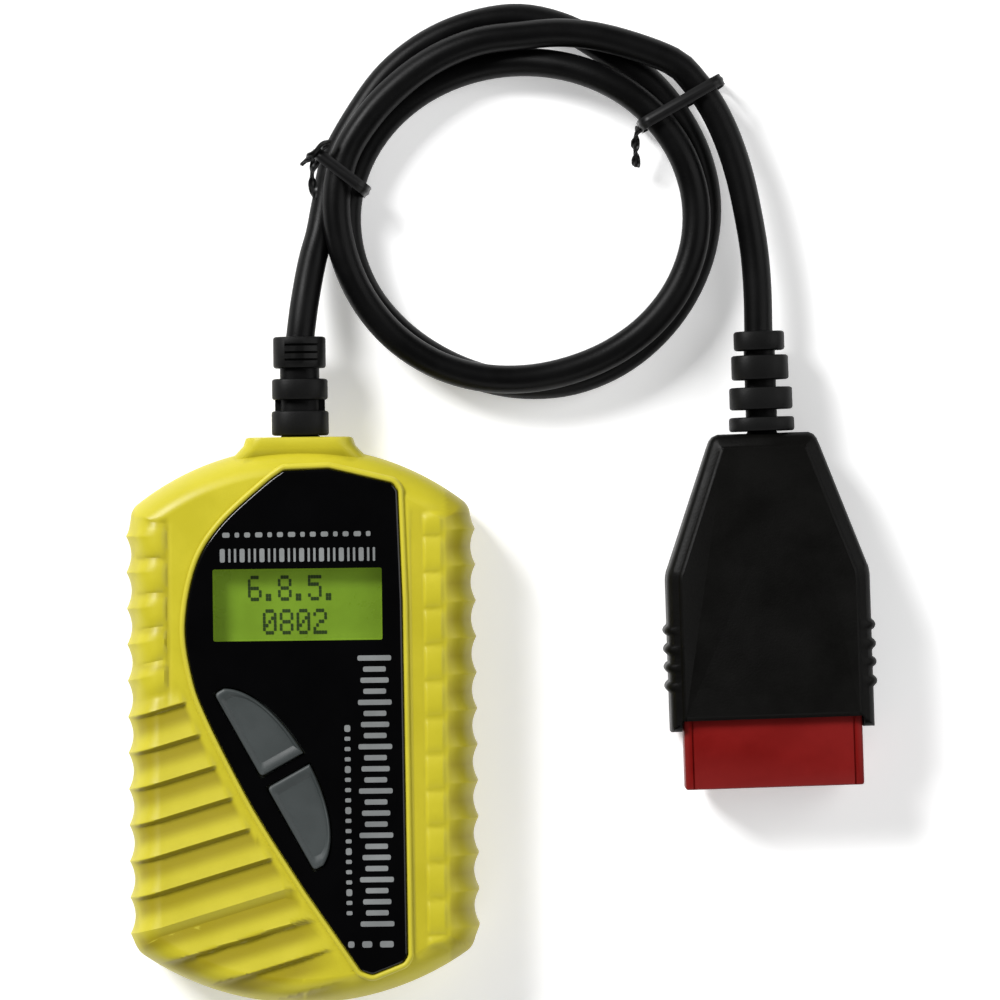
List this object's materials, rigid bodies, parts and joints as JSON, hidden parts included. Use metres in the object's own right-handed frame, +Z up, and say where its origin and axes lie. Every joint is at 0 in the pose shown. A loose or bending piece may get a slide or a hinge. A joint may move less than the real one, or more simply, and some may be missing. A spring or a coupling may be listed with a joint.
{
  "type": "obd code reader",
  "caption": "Hand-held diagnostic code reader: yellow ribbed case, dark face with a character display and leaf-shaped keys, coiled cable to a 16-way plug.",
  "frame": {"origin": "centre of the reader's footprint on the surface it lies on", "axes": "+Y along the reader towards its cable, +Z up out of its face, +X to the right of the face"},
  "size_m": [0.1648, 0.2213, 0.0248],
  "materials": {
    "case_yellow": "satin moulded plastic with fine grain",
    "overlay_black": "glossy film",
    "window_clear": "polished clear plastic",
    "key_grey": "satin",
    "board_green": "solder mask",
    "part_black": "matte",
    "steel": "plated",
    "lcd_green": "polished",
    "backlight_white": "diffusing",
    "connector_ivory": "moulded",
    "label_silver": "printed film",
    "cable_black": "satin jacket",
    "relief_black": "satin",
    "tie_black": "satin",
    "hood_black": "fine grain",
    "plug_red": "satin",
    "terminal_brass": "plated brass"
  },
  "bodies": {
    "reader": {"board_screw_1": "steel", "board_screw_2": "steel", "board_screw_3": "steel", "board_screw_4": "steel", "cable_coil": "cable_black", "cable_lead_plug": "cable_black", "cable_lead_reader": "cable_black", "cable_plug": "connector_ivory", "cable_socket": "connector_ivory", "can_transceiver": "part_black", "case_screw_1": "steel", "case_screw_2": "steel", "case_screw_3": "steel", "case_screw_4": "steel", "crystal": "steel", "display_lens": "window_clear", "filter_capacitor": "steel", "front_cover": "case_yellow", "hood_screw_1": "steel", "hood_screw_2": "steel", "inner_cable": "cable_black", "input_diode": "part_black", "kline_driver": "part_black", "lcd_backlight": "backlight_white", "lcd_bezel": "steel", "lcd_board": "board_green", "lcd_glass": "lcd_green", "lcd_header": "part_black", "main_board": "board_green", "memory_chip": "part_black", "microcontroller": "part_black", "overlay_panel": "overlay_black", "plug_body": "plug_red", "plug_hood_bottom": "hood_black", "plug_hood_top": "hood_black", "plug_relief": "relief_black", "reader_relief": "relief_black", "rear_cover": "case_yellow", "rear_label": "label_silver", "switch_lower": "part_black", "switch_upper": "part_black", "terminal_02": "terminal_brass", "terminal_04": "terminal_brass", "terminal_05": "terminal_brass", "terminal_06": "terminal_brass", "terminal_07": "terminal_brass", "terminal_10": "terminal_brass", "terminal_14": "terminal_brass", "terminal_15": "terminal_brass", "terminal_16": "terminal_brass", "twist_tie_left": "tie_black", "twist_tie_right": "tie_black", "voltage_regulator": "part_black", "wire_loom": "cable_black"},
    "upper_key": {"key_upper": "key_grey", "plunger_upper": "part_black"},
    "lower_key": {"key_lower": "key_grey", "plunger_lower": "part_black"}
  },
  "joints": [
    {"name": "upper_key_press", "type": "slide", "parent": "reader", "child": "upper_key", "axis": [0, 0, -1], "range_m": [0, 0.0006], "stiffness_N_per_m": 400, "springref_m": -0.0006},
    {"name": "lower_key_press", "type": "slide", "parent": "reader", "child": "lower_key", "axis": [0, 0, -1], "range_m": [0, 0.0006], "stiffness_N_per_m": 400, "springref_m": -0.0006}
  ]
}
